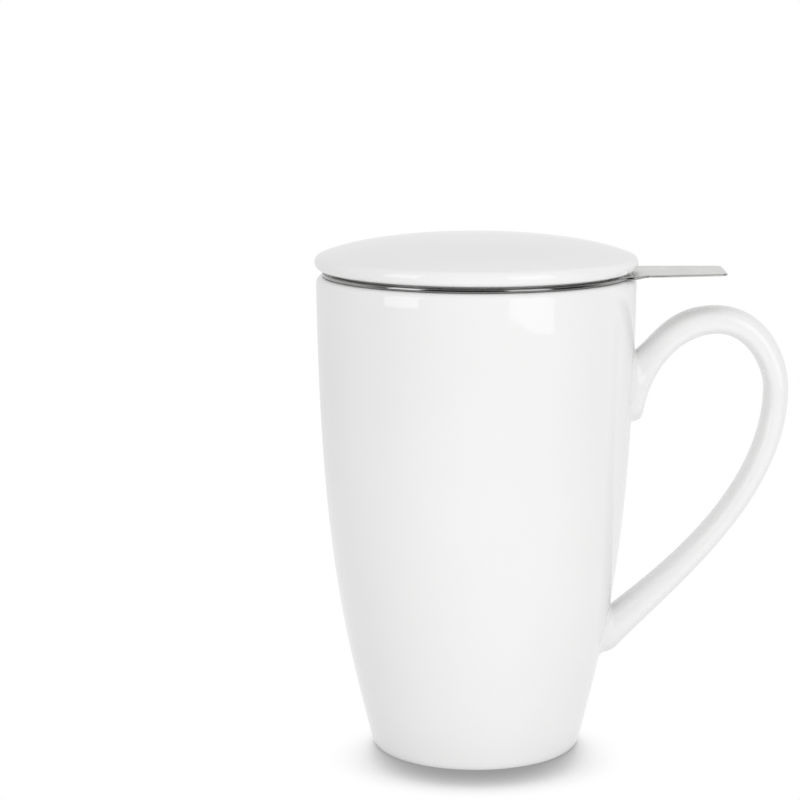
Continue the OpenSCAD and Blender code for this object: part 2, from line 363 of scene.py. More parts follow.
# ---------------------------------------------------------------- materials

def add(tree, kind, inputs=None, **properties):
    """A shader node with its properties and its input values set."""
    node = tree.nodes.new(kind)
    for key, value in properties.items():
        setattr(node, key, value)
    for key, value in (inputs or {}).items():
        node.inputs[key].default_value = value
    return node


def start_material(name, **shader_inputs):
    """A new material, its node tree and its shader."""
    material = bpy.data.materials.new(name)
    material.use_nodes = True
    tree = material.node_tree
    shader = tree.nodes["Principled BSDF"]
    for key, value in shader_inputs.items():
        shader.inputs[key].default_value = value
    return material, tree, shader


def noise(tree, vector, scale, detail=2.0, roughness=0.5):
    """Noise with its scale in features to the metre."""
    node = add(tree, "ShaderNodeTexNoise", {"Scale": scale, "Detail": detail, "Roughness": roughness})
    tree.links.new(vector, node.inputs["Vector"])
    return node.outputs["Fac"]


def remap(tree, value, low, high, start=0.3, end=0.7):
    """The value between start and end, spread over low to high."""
    node = add(tree, "ShaderNodeMapRange",
               {"From Min": start, "From Max": end, "To Min": low, "To Max": high})
    tree.links.new(value, node.inputs["Value"])
    return node.outputs["Result"]


def blend_colours(tree, factor, low, high):
    """The low colour where the factor is 0, and the high one where it is 1."""
    node = add(tree, "ShaderNodeMix", data_type="RGBA")
    node.inputs["A"].default_value = (*low, 1)
    node.inputs["B"].default_value = (*high, 1)
    tree.links.new(factor, node.inputs["Factor"])
    return node.outputs["Result"]


def bump(tree, shader, heights):
    """Bump from (height output, depth in metres) pairs, one on top of another."""
    normal = None
    for height, depth in heights:
        node = add(tree, "ShaderNodeBump", {"Strength": 1.0, "Distance": depth})
        tree.links.new(height, node.inputs["Height"])
        if normal is not None:
            tree.links.new(normal, node.inputs["Normal"])
        normal = node.outputs["Normal"]
    tree.links.new(normal, shader.inputs["Normal"])


def porcelain_glaze():
    """White body under a clear glaze that lies a little unevenly."""
    material, tree, shader = start_material("porcelain_glaze", IOR=1.5)
    place = add(tree, "ShaderNodeTexCoord").outputs["Object"]
    pooling = noise(tree, place, scale=22, detail=3.0)
    tint = blend_colours(tree, remap(tree, pooling, 0, 1), (0.875, 0.875, 0.872), (0.895, 0.895, 0.893))
    tree.links.new(tint, shader.inputs["Base Color"])
    gloss = noise(tree, place, scale=90, detail=4.0)
    tree.links.new(remap(tree, gloss, 0.02, 0.045), shader.inputs["Roughness"])
    ripple = noise(tree, place, scale=45, detail=1.0)
    orange_peel = noise(tree, place, scale=420)
    bump(tree, shader, [(ripple, 0.00006), (orange_peel, 0.0000035)])
    return material


def porcelain_bare():
    """Unglazed porcelain, ground where it stands."""
    material, tree, shader = start_material("porcelain_bare", IOR=1.5)
    place = add(tree, "ShaderNodeTexCoord").outputs["Object"]
    stain = noise(tree, place, scale=160, detail=5.0)
    tint = blend_colours(tree, remap(tree, stain, 0, 1), (0.76, 0.745, 0.715), (0.83, 0.82, 0.80))
    tree.links.new(tint, shader.inputs["Base Color"])
    tree.links.new(remap(tree, stain, 0.6, 0.8), shader.inputs["Roughness"])
    grit = noise(tree, place, scale=2600, detail=3.0)
    bump(tree, shader, [(grit, 0.00005)])
    return material


# Metres that the brush lines' pattern moves for each radian round the axis, and for each metre along X
brush_by_turn = 0.0012
brush_by_length = 0.02
# Darkest and lightest of the brush lines against the steel's shade
brush_dark = 0.93
brush_light = 1.07


def steel(name, shade, rough_low, rough_high, brush_depth, around):
    """Stainless sheet with fine brush lines, round the Z axis or along X."""
    material, tree, shader = start_material(name, Metallic=1.0)
    place = add(tree, "ShaderNodeTexCoord").outputs["Object"]
    parts = add(tree, "ShaderNodeSeparateXYZ")
    tree.links.new(place, parts.inputs["Vector"])
    lines = add(tree, "ShaderNodeCombineXYZ")
    if around:
        level = add(tree, "ShaderNodeVectorMath", {1: (1, 1, 0)}, operation="MULTIPLY")
        tree.links.new(place, level.inputs[0])
        radius = add(tree, "ShaderNodeVectorMath", operation="LENGTH")
        tree.links.new(level.outputs["Vector"], radius.inputs[0])
        turn = add(tree, "ShaderNodeMath", operation="ARCTAN2")
        tree.links.new(parts.outputs["Y"], turn.inputs[0])
        tree.links.new(parts.outputs["X"], turn.inputs[1])
        along = add(tree, "ShaderNodeMath", {1: brush_by_turn}, operation="MULTIPLY")
        tree.links.new(turn.outputs["Value"], along.inputs[0])
        tree.links.new(radius.outputs["Value"], lines.inputs["X"])
    else:
        along = add(tree, "ShaderNodeMath", {1: brush_by_length}, operation="MULTIPLY")
        tree.links.new(parts.outputs["X"], along.inputs[0])
        tree.links.new(parts.outputs["Y"], lines.inputs["X"])
    tree.links.new(along.outputs["Value"], lines.inputs["Y"])
    tree.links.new(parts.outputs["Z"], lines.inputs["Z"])
    brush = noise(tree, lines.outputs["Vector"], scale=9000, roughness=0.7)
    clouds = noise(tree, place, scale=120, detail=4.0)
    tint = blend_colours(tree, remap(tree, brush, 0, 1),
                         [brush_dark * c for c in shade], [brush_light * c for c in shade])
    tree.links.new(tint, shader.inputs["Base Color"])
    tree.links.new(remap(tree, clouds, rough_low, rough_high), shader.inputs["Roughness"])
    bump(tree, shader, [(brush, brush_depth)])
    return material


glaze = porcelain_glaze()
bare = porcelain_bare()
# The polished steel's shade is partly stainless steel's own colour and partly painted shade. It is
# darkened well below real steel so that the flange ring's rolled edge reads as the dark shadow gap
# under the lid's edge. The base hoop uses the same darkened steel.
steel_polished_painted_shade = steel("steel_polished_painted_shade", shade=(0.38, 0.378, 0.373), rough_low=0.10, rough_high=0.16,
                     brush_depth=0.0000015, around=True)
steel_drawn = steel("steel_drawn", shade=(0.60, 0.597, 0.59), rough_low=0.20, rough_high=0.30,
                    brush_depth=0.000004, around=True)
steel_brushed = steel("steel_brushed", shade=(0.67, 0.667, 0.656), rough_low=0.26, rough_high=0.36,
                      brush_depth=0.000006, around=False)


# ---------------------------------------------------------------- mug body

lip_r = wall_t / 2
lip_z = mug_h - lip_r
wall_low = np.array([foot_r, foot_edge_h])
wall_high = np.array([rim_r, lip_z])
foot_slope = np.array([foot_lean, 1])
rim_slope = np.array([rim_lean, 1])
wall = cubic(wall_low, wall_low + low_bend_h * foot_slope,
             wall_high - upright_h * rim_slope, wall_high, 90)


def wall_r(z):
    """Radius of the body's outside at a height."""
    return np.interp(z, wall[:, 1], wall[:, 0])


def at_wall(z):
    """Point of the body's outline at a height."""
    return np.array([wall_r(z), z])


def on_wall(y, z, out=0.0):
    """Points on the body's outside, from their Y and height."""
    r = wall_r(z) + out
    return np.column_stack([np.sqrt(r * r - y * y), y, z])


def mug_shell():
    """The cast body: recessed foot, wall, rounded lip and cavity, with its foot ring left bare."""
    floor_z = foot_recess_h + floor_t
    foot_out = foot_r - foot_edge_w
    foot_in = foot_out - foot_land_w
    recess = [(0, foot_recess_h), (foot_in * 0.5, foot_recess_h),
              (foot_in - foot_bevel * 1.6, foot_recess_h)]
    step_r = foot_in - foot_bevel * 0.5
    step = cubic((foot_in - foot_bevel, foot_recess_h), (step_r, foot_recess_h),
                 (step_r, foot_round), (foot_in, 0.0), 6)
    land = [(foot_in + foot_land_w * s, 0.0) for s in (0.3, 0.7)]
    edge = cubic((foot_out, 0.0), (foot_out + foot_edge_w * 0.5, 0.0),
                 wall_low - foot_edge_h * 0.5 * foot_slope, wall_low, 10)
    lip = arc((rim_r - lip_r, lip_z), lip_r, 0, 180, 20)[1:]
    corner_z = floor_z + cavity_corner
    inner = [(wall_r(z) - wall_t, z) for z in np.linspace(lip_z, corner_z, 60)[1:]]
    inner_slope = np.array([wall_r(corner_z + 1) - wall_r(corner_z), 1])
    pull = cavity_corner * ROUND_PULL
    floor_r = inner[-1][0] - cavity_corner
    corner = cubic(inner[-1], np.array(inner[-1]) - pull * inner_slope,
                   (floor_r + pull, floor_z), (floor_r, floor_z), 16)[1:]
    floor = [(floor_r * 0.5, floor_z), (0, floor_z)]
    profile = [*recess, *step, *land, *edge, *wall[1:], *lip, *inner, *corner, *floor]
    verts, faces, steps = lathe(profile)
    # Bare from half-way down the step to the start of the rounded edge
    bare_from = len(recess) + len(step) // 2
    bare_to = len(recess) + len(step) + len(land) + 1
    marks = [1 if bare_from <= s < bare_to else 0 for s in steps]
    return make_piece("mug_shell", verts, faces, [glaze, bare], "mug", ["mug_body"],
                      marks, sharp=60)


# ---------------------------------------------------------------- handle

neck = at_wall(handle_top - neck_drop)
crest = np.array([rim_r + crest_out, handle_top])
side = np.array([rim_r + handle_reach, handle_top - side_drop])
low = at_wall(handle_top - handle_h)
heel = low + np.array([heel_out, heel_rise])
toe_start = at_wall(handle_top - toe_drop)
toe = toe_start + np.array([toe_out, toe_rise])
crest_in = crest - np.array([0, crest_t])
side_in = side - np.array([side_t, 0])
root = at_wall(handle_top - handle_h + root_h)


def stretch(a, turn_a, pull_a, b, turn_b, pull_b, steps):
    """A stretch of rail without its end, its pulls given as shares of its chord."""
    chord = np.linalg.norm(b - a)
    after = a + pull_a * chord * heading(turn_a)
    before = b - pull_b * chord * heading(turn_b)
    return cubic(a, after, before, b, steps)[:-1]


def handle_rings():
    """Rounded sections from the upper root on the wall, round the loop, to the lower root."""
    back = np.vstack([
        stretch(neck, neck_heading, 0.28, crest, outwards, 0.51, toe_n + arch_n),
        stretch(crest, outwards, 0.43, side, downwards, 0.34, bow_n),
        stretch(side, downwards, 0.36, heel, heel_heading, 0.265, limb_n),
        stretch(heel, heel_heading, 0.4, low, low_heading, 0.4, heel_n),
        [low]])
    finger = np.vstack([
        stretch(toe_start, toe_start_heading, 0.6, toe, toe_heading, 0.5, toe_n),
        stretch(toe, toe_heading, 0.475, crest_in, outwards, 0.29, arch_n),
        stretch(crest_in, outwards, 0.415, side_in, downwards, 0.26, bow_n),
        stretch(side_in, downwards, 0.44, root, root_heading, 0.1, limb_n + heel_n),
        [root]])
    count = len(back)
    step = np.arange(count)
    flare = np.clip(1 - np.minimum(step, count - 1 - step) / flare_n, 0, 1) ** 2
    width = strap_w + (root_w - strap_w) * flare
    turn = np.radians(np.arange(section_n) * 360 / section_n)
    across = np.sign(np.cos(turn)) * np.abs(np.cos(turn)) ** section_power
    aside = np.sign(np.sin(turn)) * np.abs(np.sin(turn)) ** section_power
    middle = (back + finger) / 2
    half = (back - finger) / 2
    rings = np.zeros((count, section_n, 3))
    rings[:, :, 0] = middle[:, :1] + half[:, :1] * across
    rings[:, :, 1] = width[:, None] / 2 * aside
    rings[:, :, 2] = middle[:, 1:] + half[:, 1:] * across
    for end in (0, -1):
        rings[end] = on_wall(rings[end][:, 1], rings[end][:, 2])
    return rings


def along_line(line, run, distance):
    """Points of a line at distances along it, where run is the distance of each of its own points."""
    return np.column_stack([np.interp(distance, run, line[:, axis]) for axis in range(3)])


def glaze_fillet(rings, sizes):
    """The sections nearest the wall, reshaped so that the glaze runs out onto the wall.

    rings[0] lies on the wall. Each line of the strap is cut back by the fillet's size and curves
    round to a point as far out on the wall, and the other sections are resampled to meet it. The
    sizes are those at the strap's back, at its finger side and along its two sides."""
    corner = rings[0]
    turn = np.radians(np.arange(section_n) * 360 / section_n)
    at_edge = np.where(np.cos(turn) > 0, sizes[0], sizes[1])
    size = at_edge + (sizes[2] - at_edge) * np.sin(turn) ** 2
    around = np.roll(corner, -1, axis=0) - np.roll(corner, 1, axis=0)
    away = np.column_stack([around[:, 2], -around[:, 1]])
    away /= np.linalg.norm(away, axis=1)[:, None]
    out = corner[:, 1:] - corner[:, 1:].mean(axis=0)
    if (away * out).sum() < 0:
        away = -away
    foot = on_wall(corner[:, 1] + size * away[:, 0], corner[:, 2] + size * away[:, 1], -fillet_sink)
    t = np.linspace(0, 1, fillet_curve_n + 1)[:, None]
    lines = np.zeros((fillet_curve_n + 1 + fillet_n, section_n, 3))
    for k in range(section_n):
        line = rings[:fillet_n + 1, k]
        run = np.concatenate([[0], np.cumsum(np.linalg.norm(np.diff(line, axis=0), axis=1))])
        start = along_line(line, run, [size[k]])[0]
        curve = (1 - t) ** 2 * foot[k] + 2 * t * (1 - t) * corner[k] + t * t * start
        rest = along_line(line, run, np.linspace(size[k], run[-1], fillet_n + 1)[1:])
        lines[:, k] = np.vstack([curve, rest])
    return lines


def handle():
    """The cast strap with both roots run out onto the wall."""
    rings = handle_rings()
    upper = glaze_fillet(rings, upper_fillet)
    lower = glaze_fillet(rings[::-1], lower_fillet)[::-1]
    rings = np.vstack([upper, rings[fillet_n + 1:-fillet_n - 1], lower])
    count = len(rings)
    first = list(range(section_n))
    last = list(range((count - 1) * section_n, count * section_n))
    faces = ring_faces(count, section_n) + [first, last]
    return make_piece("handle", rings.reshape(-1, 3), faces, [glaze], "mug",
                      ["mug_handle"], sharp=70)


# ---------------------------------------------------------------- infuser

def flange_outline():
    """The stamped sheet's outline from above, with how much of each point belongs to the tab."""
    root_y = tab_w / 2 + tab_fillet / 2
    root_angle = math.degrees(math.asin(root_y / flange_r))
    ring = arc((0, 0), flange_r, root_angle, 360 - root_angle, 260)
    leave = -heading(root_angle + 90)
    side_start = np.array([flange_r + tab_fillet, tab_w / 2])
    fillet = cubic(ring[0], ring[0] + leave * tab_fillet * 0.5,
                   side_start - (tab_fillet * 0.45, 0), side_start, 16)
    tip = np.array([tab_tip - tab_corner, tab_tip_w / 2 - tab_corner])
    side_run = tip + (0, tab_corner) - side_start
    straight = [side_start + side_run * s for s in np.linspace(0, 1, 9)[1:-1]]
    upper = np.vstack([fillet[1:], straight, arc(tip, tab_corner, 90, 0, 8)])
    end = [[tab_tip, y] for y in np.linspace(-tip[1], tip[1], 9)[1:-1]]
    outline = np.vstack([ring, upper * (1, -1), end, upper[::-1]])
    root_x = flange_r * math.cos(math.radians(root_angle))
    share = smoothstep((np.abs(outline[:, 0]) - root_x) / tab_fillet)
    share[outline[:, 0] < 0] = 0
    return outline, share


def flange_ring():
    """The flange and its tab, one sheet: the ring's outer edge is rolled and the tab's is rounded."""
    outline, share = flange_outline()
    ahead = np.roll(outline, -1, axis=0) - np.roll(outline, 1, axis=0)
    inward = np.column_stack([-ahead[:, 1], ahead[:, 0]])
    inward /= np.linalg.norm(inward, axis=1)[:, None]
    roll = flange_roll + (flange_t / 2 - flange_roll) * share
    fullness = roll_fullness + (1 - roll_fullness) * share
    flat_edge = outline + inward * edge_strip_w
    rows = [np.column_stack([flat_edge, np.full(len(outline), flange_z)])]
    for a in np.radians(np.linspace(-90, 90, 13)):
        place = outline + inward * (roll * fullness * (1 - math.cos(a)))[:, None]
        rows.append(np.column_stack([place, flange_z + roll * (1 + math.sin(a))]))
    rows.append(np.column_stack([flat_edge, np.full(len(outline), flange_top)]))
    verts = np.vstack(rows).tolist()
    faces = ring_faces(len(rows), len(outline))
    mouth = arc((0, 0), collar_r, 0, 360, 192)[:-1]
    bend = [(flange_r + tab_rise_run * i / 8, y)
            for i in range(9) for y in np.linspace(-tab_bend_half_w, tab_bend_half_w, 15)]
    points, triangles = flat_fill(flat_edge, [mouth], bend)
    for z in (flange_z, flange_top):
        faces += shifted(triangles, len(verts))
        verts += [(x, y, z) for x, y in points]
    faces += shifted(ring_faces(2, len(mouth)), len(verts))
    verts += [(x, y, z) for z in (flange_z, flange_top) for x, y in mouth]
    verts = np.array(verts)
    out = verts[:, 0] - flange_r
    past_bend = (out - tab_rise_run) / (tab_tip - flange_r - tab_rise_run)
    verts[:, 2] += tab_rise * smoothstep(out / tab_rise_run)
    verts[:, 2] += tab_climb * np.clip(past_bend, 0, 1)
    # The ring's polished steel carries painted shade, darkened to stand in for the shadow gap under the
    # lid.
    piece = make_piece("flange_ring", verts, faces, [steel_polished_painted_shade, steel_brushed], "infuser",
                       ["infuser_flange"])
    merge_points(piece, 0.002)
    mark_tab(piece)
    return piece


def mark_tab(piece):
    """The tab is brushed along its length, edge and all, and the rest of the sheet keeps the polished
    steel, darkened as painted shade.

    The brushed finish starts at the ring on the flat faces, and past the rise on the edges."""
    flat_from = (flange_r - 0.1) * MM
    edge_from = (flange_r + tab_rise_run) * MM
    for face in piece.data.polygons:
        is_flat = abs(face.normal.z) > 0.9
        if face.center.x > (flat_from if is_flat else edge_from):
            face.material_index = 1


def collar():
    """The plain band under the flange, drawn over a small radius at its top."""
    foot_z = collar_z + collar_t / 2
    foot = arc((collar_in + collar_t / 2, foot_z), collar_t / 2, 0, -180, 8)
    bend = arc((collar_r, flange_top - collar_t), collar_t, 180, 90, 6)
    profile = [(collar_r, flange_top), (collar_r, foot_z), *foot[1:-1], (collar_in, foot_z), *bend[:-1]]
    verts, faces, _ = lathe(profile, closed=True)
    return make_piece("collar", verts, faces, [steel_drawn], "infuser",
                      ["infuser_collar"])


def sleeve_r(z):
    """Radius of the sleeve's outside at a height."""
    return np.interp(z, [hem_top, collar_z], [sleeve_low_r, collar_in])


def cell_hole(centre, radii):
    """Points of a round hole, in the same order as a cell's border points."""
    angles = np.radians(np.arange(hole_n) * 360 / hole_n)
    return [(centre[0] + radii[0] * math.cos(a), centre[1] + radii[1] * math.sin(a)) for a in angles]


def sleeve():
    """Perforated sheet rolled into the basket's wall: staggered round holes between plain bands.

    The sheet is laid out flat first, by u, the number of half columns from the seam, and height z."""
    low_z = hem_top + plain_band_w
    high_z = collar_z - plain_band_w
    mean_r = (sleeve_low_r + collar_in) / 2
    spread = 360 - 2 * seam_half
    columns = int(round(math.radians(spread) * mean_r / mesh_pitch))
    rows = int(round((high_z - low_z) / (mesh_pitch * math.sqrt(3) / 2)))
    step_z = (high_z - low_z) / rows
    ends = 2 * columns
    wrap = ends + 2 * seam_half / spread * ends
    plan = []
    index = {}

    def point(u, z):
        """Index of the point at u and z, added if it is new."""
        key = (round(u, 4), round(z, 4))
        if key not in index:
            index[key] = len(plan)
            plan.append((u, z))
        return index[key]

    faces = []
    edges = []
    for row in range(rows):
        z0 = low_z + row * step_z
        z1 = low_z + (row + 1) * step_z
        zm = (z0 + z1) / 2
        shift = row % 2
        radius_u = mesh_hole_d / 2 / (math.radians(spread / ends) * sleeve_r(zm))
        for u0 in range(shift, ends - shift, 2):
            border = [point(u, z) for u, z in (
                (u0 + 2, zm), (u0 + 2, z1), (u0 + 1, z1), (u0, z1),
                (u0, zm), (u0, z0), (u0 + 1, z0), (u0 + 2, z0))]
            rim = [point(u, z) for u, z in cell_hole((u0 + 1, zm), (radius_u, mesh_hole_d / 2))]
            for k in range(hole_n):
                n = (k + 1) % hole_n
                faces.append([border[k], border[n], rim[n], rim[k]])
                edges.append((rim[k], rim[n]))
        plain = [(0, 1), (ends - 1, ends), (ends, wrap)] if shift else [(ends, wrap)]
        faces += [[point(a, z0), point(b, z0), point(b, zm), point(b, z1), point(a, z1), point(a, zm)]
                  for a, b in plain]
    lines = [*range(ends + 1), wrap]
    bands = list(zip(lines[:-1], lines[1:]))
    for z0, z1 in ((sleeve_z, hem_top), (hem_top, low_z), (high_z, collar_z), (collar_z, sleeve_top)):
        faces += [[point(a, z0), point(b, z0), point(b, z1), point(a, z1)] for a, b in bands]
    for z in (sleeve_z, sleeve_top):
        edges += [(point(a, z), point(b, z)) for a, b in bands]
    sheet = np.array(plan)
    angle = np.radians(seam_angle + seam_half + sheet[:, 0] * spread / ends)
    verts = []
    for drop in (0.0, sleeve_t):
        r = sleeve_r(sheet[:, 1]) - drop
        verts.append(np.column_stack([r * np.cos(angle), r * np.sin(angle), sheet[:, 1]]))
    total = len(plan)
    faces = faces + far_side(faces, total) + edge_walls(edges, total)
    piece = make_piece("sleeve", np.vstack(verts), faces, [steel_drawn], "infuser",
                       ["infuser_sleeve"])
    merge_points(piece, 0.005)
    return piece


def seam_strip():
    """The sheet's lapped edge, a thin strip along the outside of the sleeve."""
    half = math.degrees(seam_w / 2 / sleeve_low_r)
    columns = 10
    rows = 24
    low_z = hem_top + lap_gap_low
    high_z = collar_z - lap_gap_high
    verts = []
    for i in range(rows + 1):
        z = low_z + (high_z - low_z) * i / rows
        for j in range(columns + 1):
            share = abs(2 * j / columns - 1)
            lift = lap_rise * (1 - smoothstep((share - lap_flat) / (1 - lap_flat)) * lap_fall)
            a = math.radians(seam_angle - half + 2 * half * j / columns)
            for r in (sleeve_r(z) - sleeve_t / 2, sleeve_r(z) + lift):
                verts.append((r * math.cos(a), r * math.sin(a), z))
    wide = 2 * (columns + 1)
    faces = []
    for i in range(rows):
        for j in range(columns):
            a = i * wide + 2 * j
            faces.append([a + 1, a + 3, a + wide + 3, a + wide + 1])
            faces.append([a, a + wide, a + wide + 2, a + 2])
        for j in (0, columns):
            a = i * wide + 2 * j
            faces.append([a, a + 1, a + wide + 1, a + wide])
    for i in (0, rows):
        for j in range(columns):
            a = i * wide + 2 * j
            faces.append([a, a + 2, a + 3, a + 1])
    return make_piece("seam_strip", verts, faces, [steel_drawn], "infuser")


def weld_spots(name, places):
    """Shallow round spot welds at (radius, angle in degrees, height)."""
    crown = [(weld_d / 2 * math.sin(a), weld_h * math.cos(a)) for a in np.radians((25, 50, 70, 90))]
    profile = [(0, weld_h), *crown, (weld_d / 2, -weld_sink), (0, -weld_sink)]
    spot, spot_faces, _ = lathe(profile, 16)
    verts = []
    faces = []
    for r, degrees, z in places:
        a = math.radians(degrees)
        turn = Matrix.Rotation(a, 3, "Z") @ Matrix.Rotation(math.radians(90), 3, "Y")
        centre = Vector((r * math.cos(a), r * math.sin(a), z))
        faces += shifted(spot_faces, len(verts))
        verts += [tuple(centre + turn @ Vector(v)) for v in spot]
    return make_piece(name, verts, faces, [steel_drawn], "infuser")


def base_disc():
    """The basket's perforated floor."""
    reach = base_r - hoop_lip_w - mesh_hole_d
    row_step = mesh_pitch * math.sqrt(3) / 2
    rows = int(reach / row_step)
    outer = arc((0, 0), base_r, 0, 360, 128)[:-1]
    holes = []
    for row in range(-rows, rows + 1):
        y = row * row_step
        shift = (row % 2) * mesh_pitch / 2
        for column in range(-rows - 1, rows + 1):
            x = column * mesh_pitch + shift
            if math.hypot(x, y) < reach:
                holes.append(arc((x, y), mesh_hole_d / 2, 0, 360, hole_n)[:-1])
    points, triangles = flat_fill(outer, holes)
    total = len(points)
    verts = [(x, y, z) for z in (base_low[2], base_high[2]) for x, y in points]
    sides = dict.fromkeys(side for t in triangles for side in zip(t, t[1:] + t[:1]))
    edges = [(a, b) for a, b in sides if (b, a) not in sides]
    faces = triangles + far_side(triangles, total) + edge_walls(edges, total)
    return make_piece("base_disc", verts, faces, [steel_drawn], "infuser",
                      ["infuser_base"])


def base_hoop():
    """The pressed hoop that closes the basket's lower edge over the base disc."""
    out = sleeve_low_r + hoop_t
    lip = base_r - hoop_lip_w
    heel_bend = arc((out - hoop_bend, hoop_z + hoop_bend), hoop_bend, -90, 0, 8)
    top = arc((out - hoop_t / 2, hoop_top - hoop_t / 2), hoop_t / 2, 0, 180, 8)
    profile = [(lip + hoop_chamfer, hoop_z), *heel_bend, *top, (sleeve_low_r, sleeve_z),
               (lip, sleeve_z), (lip, hoop_z + hoop_chamfer)]
    verts, faces, _ = lathe(profile, closed=True)
    return make_piece("base_hoop", verts, faces, [steel_polished_painted_shade], "infuser",
                      ["infuser_base_hoop"])


# ---------------------------------------------------------------- lid

def lid():
    """The domed lid: rounded edge, stepped seat, locating ring with a bare foot, hollow underside."""
    edge_r = lid_edge_t / 2
    edge = np.array([lid_r - edge_r, lid_edge_low + edge_r])
    crown_end = edge + edge_r * heading(lid_crown_a)
    crown_pull = lid_crown_pull * lid_r
    crown = cubic((0, lid_top), (lid_flat * lid_r, lid_top),
                  crown_end + crown_pull * heading(lid_crown_a + 90), crown_end, 60)
    rim = arc(edge, edge_r, lid_crown_a, -90, 28)[1:]
    ring_out = collar_in - sleeve_t - lid_clear
    ring_in = ring_out - lid_ring_w
    ring_round = lid_ring_w / 2
    ring_z = lid_low[2] + ring_round
    seat_out = collar_r + seat_lap
    step = cubic((seat_out + step_w, lid_edge_low), (seat_out + step_round, lid_edge_low),
                 (seat_out, seat_z + step_round), (seat_out - seat_round, seat_z), 8)
    seat = [(ring_out + seat_chamfer, seat_z), (ring_out, seat_z - seat_chamfer)]
    foot = arc((ring_out - ring_round, ring_z), ring_round, 0, -180, 20)
    under_r = np.linspace(ring_in, 0, 51)
    under = np.column_stack([under_r, np.interp(under_r, crown[:, 0], crown[:, 1]) - lid_t])
    ring_top = under[0, 1]
    join = cubic((ring_in, ring_top - hollow_fillet_h), (ring_in, ring_top - hollow_fillet_pull),
                 under[1] + (0.2, -0.05), under[2], 6)
    profile = [*crown, *rim, *step, *seat, *foot, *join, *under[3:]]
    verts, faces, steps = lathe(profile)
    # Bare over the lowest six of the foot's twenty steps
    bare_from = len(crown) + len(rim) + len(step) + len(seat) + 7
    marks = [1 if bare_from <= s < bare_from + 6 else 0 for s in steps]
    return make_piece("lid_dome", verts, faces, [glaze, bare], "lid", ["lid"],
                      marks, sharp=60)


mug_shell()
handle()
flange_ring()
collar()
sleeve()
seam_strip()
weld_angles = np.arange(0, 360, 30)
weld_spots("seam_welds", [(float(sleeve_r(z)) + lap_rise, seam_angle, z)
                          for z in np.linspace(hem_top + seam_weld_gap, collar_z - seam_weld_gap, 9)])
weld_spots("collar_welds", [(collar_r, a, collar_z + collar_weld_h) for a in weld_angles + 15])
weld_spots("hoop_welds", [(sleeve_low_r + hoop_t, a, hoop_z + hoop_weld_h) for a in weld_angles])
base_disc()
base_hoop()
lid()


# ---------------------------------------------------------------- camera, in metres and degrees

camera_place = (-0.003039, -0.646379, 0.207447)
camera_down = 9.6581
camera_right = 0.6523
camera_roll = 0.1937

camera_data = bpy.data.cameras.new("camera")
camera_data.sensor_width = 36
camera_data.sensor_fit = "HORIZONTAL"
camera_data.lens = 106.48
camera_data.shift_x = -0.1147
camera = bpy.data.objects.new("camera", camera_data)
camera.location = camera_place
camera.rotation_euler = (Matrix.Rotation(math.radians(-camera_right), 3, "Z")
                         @ Matrix.Rotation(math.pi / 2 - math.radians(camera_down), 3, "X")
                         @ Matrix.Rotation(math.radians(camera_roll), 3, "Z")).to_euler()
scene.collection.objects.link(camera)
scene.camera = camera


# ---------------------------------------------------------------- floor, world and lights, in metres

def seen_rays(tree):
    """One for rays from the camera, a mirror or glass, and zero for rays that light a surface."""
    path = add(tree, "ShaderNodeLightPath")
    seen = path.outputs["Is Camera Ray"]
    for name in ("Is Glossy Ray", "Is Transmission Ray"):
        either = add(tree, "ShaderNodeMath", operation="MAXIMUM")
        tree.links.new(seen, either.inputs[0])
        tree.links.new(path.outputs[name], either.inputs[1])
        seen = either.outputs["Value"]
    return seen


def studio_world(level):
    """White where it is seen, and a plain level of light where it falls on the object."""
    world = bpy.data.worlds.new("studio")
    scene.world = world
    world.use_nodes = True
    tree = world.node_tree
    lit = tree.nodes["Background"]
    lit.inputs["Color"].default_value = (1, 1, 1, 1)
    lit.inputs["Strength"].default_value = level
    white = add(tree, "ShaderNodeBackground", {"Color": (1, 1, 1, 1), "Strength": 1.0})
    mix = add(tree, "ShaderNodeMixShader")
    tree.links.new(seen_rays(tree), mix.inputs["Fac"])
    tree.links.new(lit.outputs["Background"], mix.inputs[1])
    tree.links.new(white.outputs["Background"], mix.inputs[2])
    tree.links.new(mix.outputs["Shader"], tree.nodes["World Output"].inputs["Surface"])


# Shade in which the floor is seen, from (how open the floor is there, shade) stops
floor_shades = ((0.33, 0.333), (0.42, 0.40), (0.50, 0.527), (0.55, 0.686), (0.60, 0.84),
                (0.66, 0.93), (0.76, 1.0))


def floor_material(albedo, reach, lean):
    """A pale matt floor that is seen as white, and darker where the object stands close to it.

    The seen shade comes from how open the floor is within reach, looked at from a direction that leans
    back by the given angle, as if the main light came from behind the object."""
    material = bpy.data.materials.new("floor")
    material.use_nodes = True
    tree = material.node_tree
    tree.nodes.remove(tree.nodes["Principled BSDF"])
    matt = add(tree, "ShaderNodeBsdfDiffuse", {"Color": (albedo, albedo, albedo, 1)})
    back = add(tree, "ShaderNodeCombineXYZ",
               {"Y": math.sin(math.radians(lean)), "Z": math.cos(math.radians(lean))})
    openness = add(tree, "ShaderNodeAmbientOcclusion", {"Distance": reach}, samples=32)
    tree.links.new(back.outputs["Vector"], openness.inputs["Normal"])
    shade = add(tree, "ShaderNodeValToRGB")
    ramp = shade.color_ramp
    for place, level in floor_shades:
        stop = ramp.elements.new(place)
        stop.color = (level, level, level, 1)
    ramp.elements.remove(ramp.elements[0])
    ramp.elements.remove(ramp.elements[-1])
    tree.links.new(openness.outputs["AO"], shade.inputs["Fac"])
    white = add(tree, "ShaderNodeEmission", {"Color": (1, 1, 1, 1)})
    tree.links.new(shade.outputs["Color"], white.inputs["Strength"])
    mix = add(tree, "ShaderNodeMixShader")
    tree.links.new(seen_rays(tree), mix.inputs["Fac"])
    tree.links.new(matt.outputs["BSDF"], mix.inputs[1])
    tree.links.new(white.outputs["Emission"], mix.inputs[2])
    tree.links.new(mix.outputs["Shader"], tree.nodes["Material Output"].inputs["Surface"])
    return material


